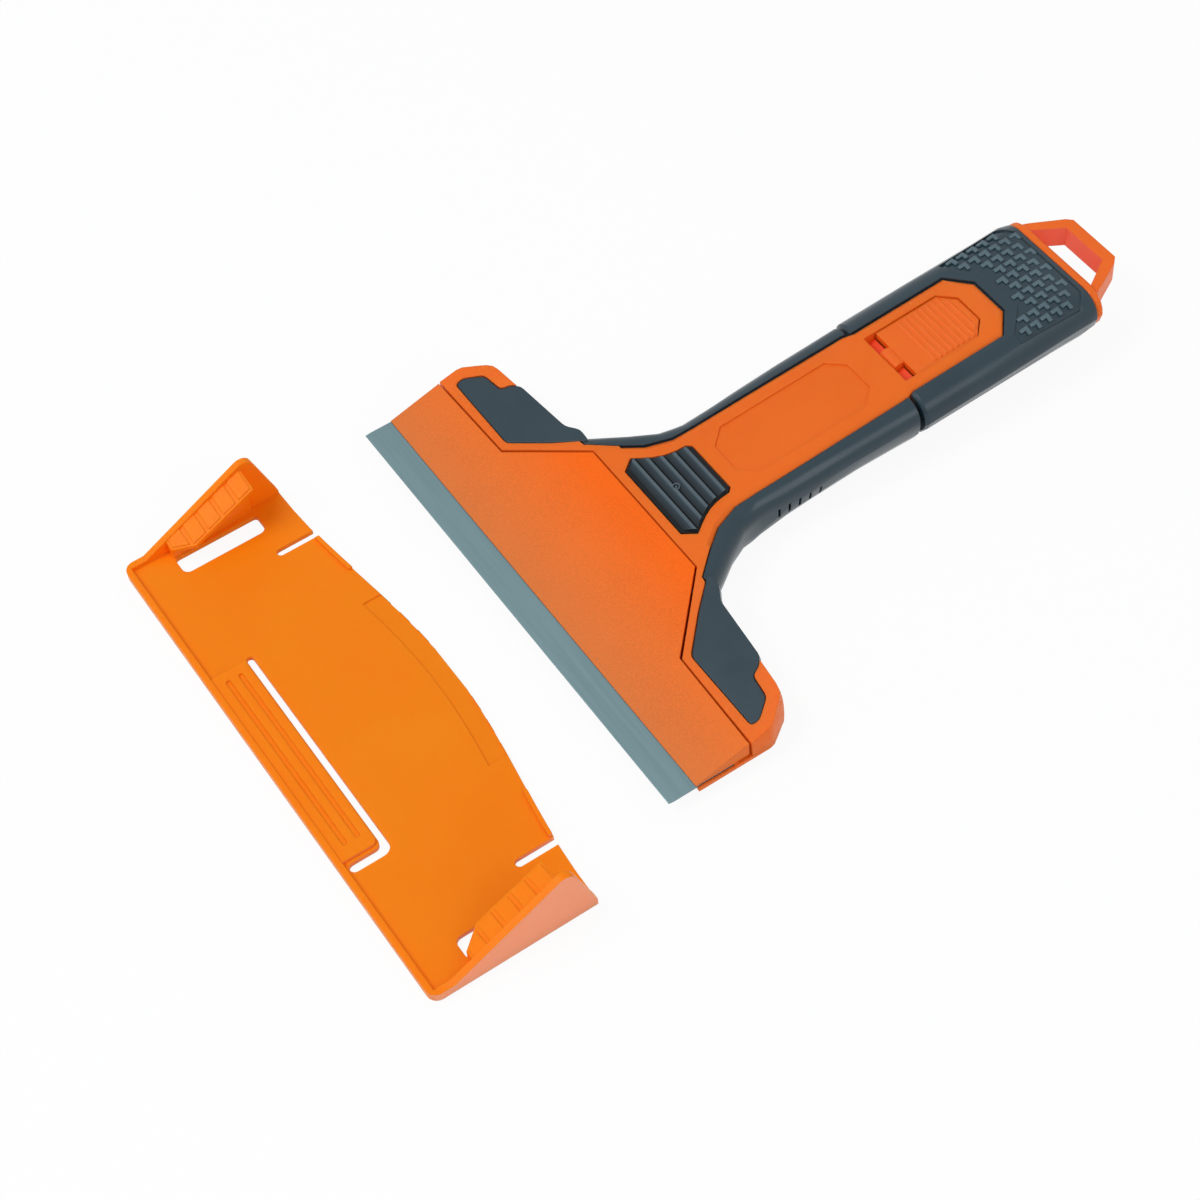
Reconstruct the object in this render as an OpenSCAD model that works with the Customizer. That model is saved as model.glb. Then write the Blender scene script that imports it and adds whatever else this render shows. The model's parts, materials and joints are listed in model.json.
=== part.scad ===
// Window scraper: wide blade head, soft-grip handle with a spare-blade drawer, and a blade guard.
// Places along Y are measured from the blade's edge. in_frame() moves them to the part's origin,
// which lies on the flat back of the handle.

/* [Blade] */
// Length of the blade
blade_l = 150; // [120:1:180]
// Width of the blade, edge to back
blade_w = 20; // [18:0.5:21]
// Thickness of the blade
blade_t = 0.6; // [0.4:0.05:0.8]
// Width of the ground bevel
bevel_w = 1.6; // [1:0.1:3]
// Part of the blade that stands out of the jaw
blade_show = 8.4; // [6:0.1:9]

/* [Head] */
// Height of the head's underside above the table
head_lift = 2.7; // [2.6:0.1:3.2]
// Where the jaw's sides end behind the blade's edge
jaw_side_y = 24.9; // [22:0.1:26]
// Where the jaw's rear edge lies
jaw_rear_y = 43.9; // [42:0.1:45]
// Width of the jaw at its rear edge
jaw_rear_w = 48.4; // [44:0.2:52]
// Width of the jaw where its narrow part starts
jaw_neck_w = 86; // [80:0.5:92]
// Height of the head's top at the jaw's rear edge
neck_h = 14.6; // [14:0.1:15.5]
// Gap around the jaw
seam = 0.44; // [0.42:0.02:0.7]
// How far the shoulders stand past the blade's ends
shoulder_over = 0.6; // [0.3:0.1:0.8]
// Where the shoulders' rear edge lies
shoulder_y = 40.2; // [39:0.1:41]
// Opening angle of the jaw
jaw_open = 3.8; // [2:0.1:4]

/* [Handle] */
// Where the handle ends and the tail cap starts, unless longer spare blades need more
handle_l = 182.6; // [178:0.2:188]
// Height of the handle at the rear of the latch frame
grip_h = 21.6; // [20.5:0.1:23]
// Outer width at the waist
waist_w = 38.2; // [37:0.2:40]
// Outer width of the rear grip
grip_w = 42.6; // [41:0.2:44]
// Outer width at the tail
tail_w = 41.6; // [40:0.2:42.6]
// Width of the orange spine at the waist
spine_w = 28.6; // [28:0.1:29.6]
// Width of the orange spine in front of the grip joint
spine_front_w = 28.2; // [27.6:0.1:29.2]
// Width of the orange spine beside the latch
frame_w = 26.4; // [26.2:0.1:27.4]
// Where the soft grip changes from front to rear
grip_joint_y = 121.5; // [118:0.5:123]
// Edge radius of the front grips
grip_r = 5; // [3:0.1:5.5]
// Edge radius of the rear grip
tail_r = 6.5; // [4:0.1:7]
// Thickness of the soft layer on the shoulders and the tail
skin_t = 2.2; // [1.5:0.1:2.6]
// Width of the shut-off groove between hard and soft plastic
groove = 0.45; // [0.3:0.05:0.6]
// Depth of the tread on the rear grip
tread_deep = 0.4; // [0.2:0.05:0.6]

/* [Thumb button] */
// Where the thumb pad starts
pad_y = 47.2; // [46.6:0.1:48]
// Length of the thumb pad
pad_l = 18.8; // [16:0.1:20]
// Width of the thumb pad at its widest
pad_w = 31.6; // [28:0.2:32]
// Width of the thumb pad at its rear
pad_rear_w = 17.4; // [15:0.2:20]
// How far the button goes down
button_travel = 0.8; // [0.5:0.05:0.9]
// Number of ridges on the thumb pad
pad_ridges = 5; // [3:1:7]
// Thickness of the thumb pad
pad_t = 2.4; // [2:0.1:2.6]

/* [Latch] */
// Where the latch recess starts
latch_y = 124.6; // [124:0.1:126]
// Length of the latch recess
latch_l = 33; // [31:0.1:33.4]
// Width of the latch
latch_w = 18.6; // [16:0.1:19]
// Width of the knuckle at the latch's front
knuckle_w = 7.4; // [5:0.1:9]
// Radius of the knuckle
knuckle_r = 1.9; // [1.5:0.05:2]
// Pressing angle of the latch
latch_press = 5; // [3:0.5:5]
// Number of ribs on the latch
latch_ribs = 9; // [5:1:11]

/* [Drawer] */
// Where the drawer starts at the foremost
drawer_y = 27.9; // [26:0.1:30]
// Height of the drawer
tray_h = 3; // [2.8:0.1:3.2]
// Wall of the drawer
tray_wall = 0.9; // [0.7:0.05:1]
// Number of spare blades is three; gap between two of them
spare_gap = 0.02; // [0.01:0.01:0.04]
// Thickness of the tail cap's flange
flange_t = 2.6; // [2:0.1:4]
// Length of the hanging loop
loop_l = 12.8; // [10:0.1:16]
// Thickness of the hanging loop
loop_t = 7; // [5:0.1:9]
// Width of the hanging loop at its end
loop_end_w = 19.6; // [16:0.2:22]
// Bar width of the hanging loop
loop_bar = 3.6; // [3:0.1:4.5]

/* [Guard] */
// Inner clearance between the head and the guard's end wedges
guard_clear = 0.6; // [0.5:0.05:1]
// Thickness of the guard's floor
guard_t = 1.5; // [1.2:0.1:1.6]
// Thickness of the guard's end walls
guard_wall = 2; // [1.4:0.1:2.2]
// Width of the wedges inside the end walls
wedge_w = 5; // [4.5:0.1:7]
// How far the guard lies to the side when it is off
guard_side = 5; // [0:0.5:5]
// Distance from the guard's front to the blade's edge, guard taken off
guard_off = 77; // [74:0.5:90]
// Depth of the guard at its ends
guard_d = 48; // [44:0.5:48]
// How far the guard's rear edge bulges in the middle
guard_bulge = 7.6; // [5:0.1:8]
// Height of the guard's end walls
guard_h = 20; // [17:0.1:21]
// Height of the guard's front lip above the floor
lip_h = 1.3; // [1:0.1:1.8]
// Length of the spring finger
finger_l = 70; // [50:1:80]
// Number of ribs on each end wall
guard_ribs = 5; // [3:1:6]

/* [Hidden] */
$fn = 48;
orange = [0.93, 0.38, 0.08];
charcoal = [0.2, 0.23, 0.26];
steel = [0.62, 0.65, 0.68];
clear_orange = [1, 0.5, 0.1];
eps = 0.01;
// Running gap of flat sliding faces, and of pins
slip = 0.3;
pin_slip = 0.05;
// Origin of the part: the middle of the handle's flat back
rest_y = 120;
// Neck: where the underside of the handle comes down to the table
neck_low_y = 62;
neck_high_y = 55;
// Parting plane of the two body halves, where the blade and the drawer lie
part_z = head_lift + 1.3;
blade_top = part_z + blade_t;
jaw_front_z = blade_top + 0.3;
jaw_slope = atan((neck_h - jaw_front_z) / (jaw_rear_y - blade_show));
frame_rear_y = latch_y + latch_l + 3;
top_slope = atan((grip_h - neck_h) / (frame_rear_y - jaw_rear_y));
head_half = blade_l / 2 + shoulder_over;
// Hinge of the jaw
pin_r = 1.5;
pin_y = jaw_rear_y - 3.9;
pin_z = part_z + 6;
pin_half = jaw_rear_w / 2 + 7.6;
lever_w = 13;
lever_t = 1.4;
lever_end = pin_y + button_travel / sin(jaw_open);
lever_z = pin_z - 1.5;
// Core under the thumb pad
core_r = 4;
core_y = 5.6;
core_deep = 6.7;
// Room in the jaw for the torsion spring round the pin
spring_room_r = 2.75;
spring_room_w = 8;
// Lower curve of the rear grip's section, and how much the hard core narrows towards its back
belly_w = 14;
belly_power = 1.3;
core_taper = 6;
loop_root = 16.8;
// Drawer
blade_play = 0.6;
tray_half = blade_w / 2 + blade_play + tray_wall;
tray_end_wall = 3.2;
tray_l = tray_wall + blade_l + blade_play + tray_end_wall;
handle_end = max(handle_l, drawer_y + tray_l);
tray_front = handle_end - tray_l;
tray_z = part_z + 0.1;
channel_h = tray_h + 0.4;
// Rounding of the shoulders' ends, and the levels of its loft
shoulder_round = 2.2;
shoulder_levels = concat([grip_h + 4],
    [for (t = [0.97, 0.9, 0.8, 0.65, 0.5, 0.3, 0]) part_z + (neck_h - part_z) * t]);
// Slits in the sides of the front grip
slit_pitch = 3.4;
slit_deep = 1.1;
// Soft skin on the shoulders
insert_y = jaw_side_y + 3.2;
screw_r = 1.4;
screw_head_r = 2.6;
screw_places = [[jaw_neck_w / 2 + 9, insert_y + 8], [jaw_neck_w / 2 + 21, insert_y + 5],
    [16.6, pad_y - 0.2]];
// Bevel along the spine's edges
bevel_h = 0.9;
bevel_in = 1.5;
spine_bevel_y = pad_y + 3.4;
// Latch hinge, in the frame of the handle's top
latch_start = latch_y - jaw_rear_y;
knuckle_y = latch_start + knuckle_r + 0.5;
latch_t = 2.2;
latch_sink = 0.5;
pit_depth = latch_t + 3.6;
spring_wire = 0.7;
latch_spring_y = 12;
// Catch between the latch and the drawer
catch_y = latch_y + 22.4;
catch_z = top_z(catch_y) - 8.2;
catch_t = 1.6;
catch_w = 6;
catch_bite = 1.2;
latch_spring_r = 2;
// Guard
guard_half = head_half + guard_clear + wedge_w;
guard_seat = 12.6;
wedge_y = 13.2;
wedge_l = 25.6;
roof_w = 9.2;
roof_t = 1.1;
roof_fall = 0.18;
roof_nose = 5.8;
window_w = 6.4;
finger_half = finger_l / 2;
finger_d = 12.2;
wall_low_y = 6.5;
wall_rise = (guard_h - guard_t - lip_h - 0.8) / (guard_d - 8.2 - wall_low_y);

module in_frame() {
    translate([0, -rest_y, 0])
        children();
}

// Frame of the jaw's sloping top: Y runs up the slope from the jaw's front edge
module on_jaw() {
    translate([0, blade_show, jaw_front_z])
        rotate([jaw_slope, 0, 0])
            children();
}

// Frame of the handle's top: Y runs along it from the jaw's rear edge
module on_top() {
    translate([0, jaw_rear_y, neck_h])
        rotate([top_slope, 0, 0])
            children();
}

module both_sides() {
    children();
    mirror([1, 0, 0])
        children();
}

function up_jaw(y) = (y - blade_show) / cos(jaw_slope);
function top_z(y) = neck_h + (y - jaw_rear_y) * tan(top_slope);
function arc(cx, cy, r, from, to, n = 8) =
    [for (i = [0 : n]) let (a = from + (to - from) * i / n) [cx + r * cos(a), cy + r * sin(a)]];

// An outline with its corners cut round
function rounded(points, r) = [for (i = [0 : len(points) - 1]) let (
    n = len(points),
    p = points[i],
    back = points[(i + n - 1) % n] - p,
    on = points[(i + 1) % n] - p,
    a = p + back * min(0.45, r / norm(back)),
    b = p + on * min(0.45, r / norm(on)))
    each [a, (a + 2 * p + b) / 4, b]];

// A right-hand outline, front to rear, made whole with its mirror image
function mirrored(right) =
    concat(right, [for (i = [len(right) - 1 : -1 : 0]) [-right[i][0], right[i][1]]]);

// Outlines in plan
function jaw_outline(grow = 0) = mirrored([
    [blade_l / 2 + grow, blade_show],
    [blade_l / 2 + grow, jaw_side_y + grow],
    [jaw_neck_w / 2 + grow * 1.4, jaw_side_y + 0.8 + grow],
    [jaw_rear_w / 2 + grow, jaw_rear_y + grow]
]);

// Room in the top shell for the jaw, open to the front and to both ends
function jaw_pocket() = mirrored([
    [head_half + 5, 0],
    [head_half + 5, jaw_side_y + seam],
    [jaw_neck_w / 2 + seam * 1.4, jaw_side_y + 0.8 + seam],
    [jaw_rear_w / 2 + seam, jaw_rear_y + seam]
]);

// Inset of the shoulders' outline at a height: a quarter ellipse
function shoulder_in(z) = let (t = min(1, max(0, z - part_z) / (neck_h - part_z)))
    shoulder_round * (1 - sqrt(1 - t * t));

function shoulder_corner(inset) = concat(
    [[head_half - inset, insert_y + 2.9], [head_half - 0.4 - inset, insert_y + 4.5]],
    [[head_half - 4.7 - inset, shoulder_y - 1.6 - inset / 2]],
    [[head_half - 6.2 - inset, shoulder_y - 0.4 - inset / 2]],
    [[head_half - 8.2 - inset, shoulder_y + 0.1 - inset / 2]]
);

function neck_side() = [
    [36, shoulder_y + 2.2],
    [28, shoulder_y + 3.2],
    [21.7, pad_y + 3.2],
    [17.2, pad_y + 9]
];

// Half width of the hard core along the handle
function core_half(y) = lookup(y, [
    [pad_y + 9, 17.2],
    [pad_y + 16.5, spine_w / 2 + 0.2],
    [pad_y + 24, spine_w / 2],
    [pad_y + 42, spine_w / 2],
    [grip_joint_y - 5, spine_front_w / 2],
    [grip_joint_y - 1, spine_front_w / 2],
    [grip_joint_y + 2.5, frame_w / 2],
    [handle_end, frame_w / 2]
]);

core_stations = [pad_y + 16.5, pad_y + 24, pad_y + 42, grip_joint_y - 5, grip_joint_y - 1,
    grip_joint_y + 2.5];

function handle_core(grow, end) = concat(
    [for (p = neck_side()) [p[0] + grow, p[1]]],
    [for (y = core_stations) [core_half(y) + grow, y]],
    [[frame_w / 2 + grow, end]]
);

// The same without its first corner, which lies on the shoulder
function inner_core(grow, end) = let (side = handle_core(grow, end))
    [for (i = [1 : len(side) - 1]) side[i]];

function body_outline(front, inset = 0, grow = 0) = mirrored(concat(
    [[head_half - inset, front]],
    shoulder_corner(inset),
    [[57.5, shoulder_y + 0.7 - inset / 4]],
    handle_core(grow, handle_end)
));

function body_ring(z) = [for (p = body_outline(jaw_side_y - 1, shoulder_in(z))) [p[0], p[1], z]];

// Chamfered rear end of the spine behind the latch
function spine_outline(grow) = mirrored(concat(
    [[40 + grow, jaw_side_y]],
    handle_core(grow, frame_rear_y - 5.6),
    [[frame_w / 4 - 0.2 + grow / 2, frame_rear_y + grow]]
));

function pad_outline(grow = 0) = mirrored(concat(
    [[pad_w / 2 - 2.8 + grow, -grow], [pad_w / 2 + grow, 3.6 - grow / 2]],
    [for (i = [1 : 5]) let (t = i / 6) [
        pad_w / 2 + (pad_rear_w / 2 + 1.2 - pad_w / 2) * t - 1.6 * sin(180 * t) + grow,
        3.6 + (pad_l - 5) * t]],
    [[pad_rear_w / 2 + 1.2 + grow, pad_l - 1.2 + grow / 2], [pad_rear_w / 2 + grow, pad_l + grow]]
));

function latch_outline(grow = 0) = mirrored([
    [latch_w / 2 + grow, 0],
    [latch_w / 2 + grow, latch_l - 8.2],
    [latch_w / 4 + grow, latch_l - 4 + grow]
]);

// Solid through a row of rings that have the same number of points.
// Seen against the row's direction, each ring runs clockwise.
module loft(rings) {
    n = len(rings[0]);
    last = len(rings) - 1;
    sides = [for (k = [0 : last - 1]) for (i = [0 : n - 1]) let (j = (i + 1) % n) each [
        [k * n + i, k * n + j, (k + 1) * n + j],
        [k * n + i, (k + 1) * n + j, (k + 1) * n + i]]];
    // Each end is a strip between the ring's right-hand points and their mirror images
    strip = [for (i = [0 : n / 2 - 2]) each [[i, i + 1, n - 2 - i], [i, n - 2 - i, n - 1 - i]]];
    ends = [for (t = strip) each [[t[2], t[1], t[0]], [for (i = t) last * n + i]]];
    polyhedron([for (r = rings) each r], concat(sides, ends));
}

// Section of the handle at one place along it. Its lower corners are wide and deep curves, fuller or
// leaner with the power, and its upper corners are round.
function grip_ring(y, half, low, high, wide, deep, power, top_r) = let (
    right = concat(
        [for (i = [5 : -1 : 0]) [
            half - wide + wide * pow(cos(18 * i), power),
            low + deep - deep * pow(sin(18 * i), power)]],
        arc(half - top_r, high - top_r, top_r, 0, 90, 5)))
    [for (p = mirrored(right)) [p[0], y, p[1]]];

function belly_z(y) = lookup(y, [[neck_high_y, head_lift], [neck_low_y, 0]]);

// Place, half width, width of the lower curve and its power
front_widths = [[shoulder_y + 3.6, 33.2, 6, 1], [pad_y + 3, 28.7, 6, 1], [pad_y + 8, 25.2, 6.5, 1],
    [pad_y + 15, waist_w / 2 + 1.7, 7, 1], [pad_y + 18.8, waist_w / 2 + 0.6, 5.5, 1],
    [pad_y + 22, waist_w / 2 - 0.1, 5.5, 1], [pad_y + 31, waist_w / 2, 8.3, 1],
    [pad_y + 40, waist_w / 2 + 0.4, 10.5, 1], [pad_y + 55, waist_w / 2 + 0.8, 13, 1],
    [grip_joint_y - 8, waist_w / 2 + 0.9, 13, 1], [grip_joint_y, grip_w / 2 - 1.2, 12, 1.1]];

module soft_front() {
    loft([for (s = front_widths) let (low = belly_z(s[0]), high = top_z(s[0]) - 0.2)
        grip_ring(s[0], s[1], low, high, s[2], min(s[2], high - low - grip_r - 0.1), s[3], grip_r)]);
}

// Place, half width and how much the section is drawn in
rear_stations = [[grip_joint_y + 1.4, grip_w / 2 - 0.7, 0.6], [grip_joint_y + 2.2, grip_w / 2, 0],
    [frame_rear_y - 15, grip_w / 2, 0], [handle_end - 12, grip_w / 2 - 0.2, 0],
    [handle_end - 3, tail_w / 2 + 0.4, 0], [handle_end, tail_w / 2, 0.6]];

function rear_ring(y, half, low, high) =
    grip_ring(y, half, low, high, belly_w, high - low - tail_r - 0.1, belly_power, tail_r);

module soft_rear(inset = 0) {
    loft([for (s = rear_stations) rear_ring(s[0], s[1] - inset, s[2], top_z(s[0]) - 0.1 - s[2] - inset)]);
}

// Hard core under the soft grips, narrower towards the flat back
module core_body(start, end) {
    loft([for (l = [[60, 0], [part_z, 0], [-eps, -core_taper]])
        [for (p = mirrored(concat(start, inner_core(l[1], end)))) [p[0], p[1], l[0]]]]);
}

// Sunk field of the tread on the tail's top and its upper edges
module tread_field() {
    difference() {
        translate([0, 0, grip_h - 10])
            linear_extrude(40)
                polygon(mirrored([
                    [frame_w / 4 + 1.5, frame_rear_y + 3.6],
                    [frame_w / 2 + 2.2, frame_rear_y - 3.4],
                    [grip_w / 2 - 3.1, frame_rear_y - 3.4],
                    [grip_w / 2 - 2.4, handle_end - 5],
                    [grip_w / 2 - 7.1, handle_end - 1.4]
                ]));
        soft_rear(tread_deep);
    }
}

// Wire wound into a coil about Z, as one tube
module coil(radius, wire, turns, height) {
    steps = turns * 8;
    loft([for (i = [0 : steps]) let (a = 360 * i / 8) [for (k = [0 : 5])
        let (r = radius + wire / 2 * cos(60 * k), z = wire / 2 + (height - wire) * i / steps)
        [r * cos(a), r * sin(a), z + wire / 2 * sin(60 * k)]]]);
}

// Everything below a sloping top
module under_jaw_slope() {
    on_jaw()
        translate([-100, -20, -80])
            cube([200, 240, 80]);
}

module under_top_slope() {
    on_top()
        translate([-100, -40, -60])
            cube([200, 240, 60]);
}

// Drawer's way through the handle
module tray_channel() {
    translate([-tray_half - slip, tray_front - 0.6, part_z - eps])
        cube([2 * (tray_half + slip), handle_end - tray_front + 1, channel_h + eps]);
}

module screws_at(places, r, from, to) {
    for (p = places)
        both_sides()
            translate([p[0], p[1], from])
                cylinder(r = r, h = to - from);
}

module back_shell() {
    color(orange) in_frame() difference() {
        union() {
            loft([for (l = [[part_z, 0], [0, -core_taper]])
                [for (p = body_outline(blade_show + 0.5, 0, l[1])) [p[0], p[1], l[0]]]]);
            // Ledge that the blade's back rests against
            translate([-blade_l / 2, blade_w + pin_slip, part_z - eps])
                cube([blade_l, 1.5, blade_t - 0.1]);
        }
        // Relief under the head and neck
        rotate([90, 0, 90])
            translate([0, 0, -100])
                linear_extrude(200)
                    polygon([[-10, -1], [-10, head_lift], [neck_high_y, head_lift], [neck_low_y, 0],
                        [neck_low_y, -1]]);
        screws_at(screw_places, screw_r + pin_slip, -1, part_z + 1);
        screws_at(screw_places, screw_head_r + 0.1, -1, head_lift + 0.9);
    }
}

module shell_screws() {
    color(steel) in_frame() for (p = screw_places) both_sides() translate([p[0], p[1], head_lift + 0.1])
        union() {
            difference() {
                cylinder(r = screw_head_r, h = 0.8);
                translate([-0.4, -1.8, -eps])
                    cube([0.8, 3.6, 0.4]);
                translate([-1.8, -0.4, -eps])
                    cube([3.6, 0.8, 0.4]);
            }
            cylinder(r = screw_r, h = 5.6);
        }
}

// Pocket for the soft skin on one shoulder, in plan up the jaw's slope
function insert_outline(grow = 0) = [
    [jaw_neck_w / 2 + 1.5 - grow, up_jaw(insert_y) - grow],
    [head_half - 4.3 + grow, up_jaw(insert_y) - grow],
    [head_half - 4 + grow, up_jaw(insert_y + 2.5)],
    [head_half - 8 + grow, up_jaw(insert_y + 7.7) + grow],
    [head_half - 15.3 + grow, up_jaw(insert_y + 8.6) + grow],
    [head_half - 16 + grow, up_jaw(insert_y + 11)],
    [head_half - 18.4 + grow, up_jaw(shoulder_y + 1)],
    [37, up_jaw(shoulder_y + 2.8)],
    [33, up_jaw(shoulder_y + 5.2)],
    [28 - grow, up_jaw(shoulder_y + 5)],
    [35.3 - grow, up_jaw(insert_y + 8.9) - grow]
];

module shoulder_skin(grow, depth) {
    on_jaw()
        translate([0, 0, -depth])
            linear_extrude(depth + grow)
                polygon(rounded(insert_outline(grow), 1.2));
}

module top_shell() {
    color(orange) in_frame() difference() {
        intersection() {
            loft([for (z = shoulder_levels) body_ring(z)]);
            under_jaw_slope();
            under_top_slope();
        }
        // Pocket of the jaw and its lever
        translate([0, 0, part_z - eps])
            linear_extrude(40)
                polygon(jaw_pocket());
        translate([-lever_w / 2 - slip, jaw_rear_y, lever_z - 1.6])
            cube([lever_w + 2 * slip, lever_end + 0.6 - jaw_rear_y, lever_t + 2]);
        translate([-pin_half, pin_y, pin_z])
            rotate([0, 90, 0])
                cylinder(r = pin_r, h = 2 * pin_half);
        both_sides()
            shoulder_skin(eps, skin_t);
        // Pocket of the thumb button
        on_top() translate([0, pad_y - jaw_rear_y, 0]) {
            translate([0, 0, -pad_t - button_travel - 0.2])
                linear_extrude(10)
                    polygon(pad_outline(slip));
            translate([0, core_y, -core_deep])
                cylinder(r = core_r + slip, h = core_deep + 2);
        }
        // Bare octagonal recess on the spine
        on_top()
            translate([0, 0, -0.45])
                linear_extrude(2)
                    polygon(mirrored([[5, 27], [9.6, 32], [9.6, 67], [5, 71.8]]));
        latch_pit();
        tray_channel();
        screws_at(screw_places, screw_r, part_z - 1, head_lift + 6);
        // Chamfer along the spine's edges
        on_top() difference() {
            translate([-30, spine_bevel_y - jaw_rear_y, -2 * bevel_h])
                cube([60, 200, 20]);
            spine_top();
        }
        // Lower spine under the soft skin behind the latch
        on_top()
            translate([0, -jaw_rear_y, -skin_t])
                linear_extrude(40)
                    polygon(mirrored([
                        [frame_w / 4 - 0.2, frame_rear_y],
                        [frame_w * 3 / 4 + 0.2, frame_rear_y - 11.2],
                        [frame_w * 3 / 4 + 0.2, handle_end + 40]
                    ]));
    }
}

// Spine's top with bevelled edges, in the frame of the handle's top
module spine_top() {
    low = bevel_in * 0.2;
    loft([for (s = [[1, -bevel_in], [0, -bevel_in], [-bevel_h * 1.2, low], [-bevel_h * 3, low]])
        [for (p = spine_outline(s[1])) [p[0], p[1] - jaw_rear_y, s[0]]]]);
}

module latch_pit() {
    on_top() difference() {
        translate([0, latch_start, -pit_depth])
            linear_extrude(20)
                polygon(latch_outline(slip));
        translate([-knuckle_w / 2 + 0.1, latch_start - 1, -20])
            difference() {
                cube([knuckle_w - 0.2, 4.5, 20 - latch_sink - knuckle_r]);
                translate([-1, knuckle_y - latch_start + 1, 20 - latch_sink - knuckle_r])
                    rotate([0, 90, 0])
                        cylinder(r = knuckle_r + pin_slip, h = knuckle_w + 2);
            }
        translate([0, latch_start + latch_spring_y, -pit_depth - 1])
            cylinder(r = latch_spring_r - spring_wire / 2 - 0.3, h = 2.4);
    }
    // Well for the latch's foot, and the way of the drawer's catch arm
    translate([-catch_w / 2 - 0.6, catch_y - 4.6, part_z + eps])
        cube([catch_w + 1.2, 8.4, top_z(catch_y) - pit_depth + 0.5 - part_z]);
    translate([-catch_w / 2 - 0.6, catch_y - 2, catch_z - 2])
        cube([catch_w + 1.2, handle_end + 1 - catch_y + 2, catch_t + 2.4]);
}

// Arm on the drawer's cap, with a barb in front of the foot's lip
module catch_arm() {
    translate([-catch_w / 2, catch_y - 1.6, catch_z])
        cube([catch_w, handle_end + slip + 1 - catch_y + 1.6, catch_t]);
    translate([-catch_w / 2, catch_y - 1, catch_z - catch_bite - 0.4])
        cube([catch_w, 1.4, catch_bite + 0.5]);
}

// Leg under the latch, with a foot that reaches below the arm and a lip behind the barb
module catch_foot() {
    foot_z = catch_z - catch_bite - 1.8;
    leg_y = catch_y - 3.6;
    translate([-catch_w / 2, leg_y, foot_z])
        cube([catch_w, 1.4, top_z(leg_y) - latch_sink - latch_t + 0.5 - foot_z]);
    translate([-catch_w / 2, leg_y, foot_z])
        cube([catch_w, 6.1, 1]);
    translate([-catch_w / 2, catch_y + 1.1, foot_z])
        cube([catch_w, 1.4, 2.6]);
}

module front_grip() {
    difference() {
        union() {
            intersection() {
                soft_front();
                translate([0, shoulder_y + 3.6, -10])
                    cube([100, 200, 60]);
            }
            shoulder_skin(-groove / 2, skin_t);
        }
        core_body([[24, shoulder_y - 1.2]], handle_end);
        on_top()
            translate([0, -jaw_rear_y, -bevel_h - 0.4])
                linear_extrude(20)
                    polygon(mirrored(inner_core(groove, handle_end)));
        // Row of slits in the side
        for (y = [0 : slit_pitch : 4 * slit_pitch])
            translate([lookup(pad_y + 27.3 + y, [for (s = front_widths) [s[0], s[1]]]) - slit_deep,
                pad_y + 27.3 + y, 6.6])
                cube([5, 0.8, 3.4]);
    }
}

module front_grip_left() {
    color(charcoal) in_frame() mirror([1, 0, 0]) front_grip();
}

module front_grip_right() {
    color(charcoal) in_frame() front_grip();
}

module rear_grip() {
    color(charcoal) in_frame() difference() {
        soft_rear();
        tread_field();
        intersection() {
            core_body([], handle_end + 1);
            on_top()
                translate([-100, -40, -60])
                    cube([200, 240, 60 - skin_t]);
        }
        translate([0, 0, part_z])
            linear_extrude(60)
                polygon(spine_outline(0));
        on_top()
            translate([0, -jaw_rear_y, -bevel_h - 0.4])
                linear_extrude(20)
                    polygon(spine_outline(groove));
    }
}

// A blade lying flat, its edge along X at Y = 0
module blade_strip() {
    translate([-blade_l / 2, 0, 0])
        rotate([90, 0, 90])
            linear_extrude(blade_l)
                polygon([[0, blade_t * 0.55], [bevel_w, 0], [blade_w, 0], [blade_w, blade_t],
                    [bevel_w, blade_t], [0, blade_t * 0.65]]);
}

module blade() {
    color(steel) in_frame() translate([0, 0, part_z])
        blade_strip();
}

module clamp_plate() {
    color(orange) in_frame() difference() {
        union() {
            intersection() {
                translate([0, 0, blade_top + pin_slip])
                    linear_extrude(40)
                        polygon(jaw_outline());
                under_jaw_slope();
            }
            translate([-lever_w / 2, pin_y, lever_z])
                cube([lever_w, lever_end - pin_y, lever_t]);
        }
        // Room for the drawer and for the jaw's swing behind its hinge
        translate([-tray_half - 1, tray_front - 1, 0])
            cube([2 * tray_half + 2, 60, tray_z + tray_h + slip]);
        translate([-tray_half - 1, pin_y - 2, 0])
            cube([2 * tray_half + 2, 60, lever_z]);
        translate([-100, pin_y - 3, 0])
            cube([200, 20, blade_top + 1]);
        translate([-100, pin_y, pin_z])
            rotate([0, 90, 0])
                cylinder(r = pin_r + pin_slip, h = 200);
        translate([-spring_room_w / 2, pin_y, pin_z])
            rotate([0, 90, 0])
                cylinder(r = spring_room_r, h = spring_room_w);
    }
}

module clamp_pin() {
    color(steel) in_frame() translate([-pin_half + 0.2, pin_y, pin_z])
        rotate([0, 90, 0])
            cylinder(r = pin_r, h = 2 * pin_half - 0.4);
}

module clamp_spring() {
    spring_w = spring_room_w - 1.2;
    color(steel) in_frame() translate([-spring_w / 2, pin_y, pin_z])
        rotate([0, 90, 0])
            coil((pin_r + spring_wire / 2 + 0.1) / cos(22.5), spring_wire, 5, spring_w);
}

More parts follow.
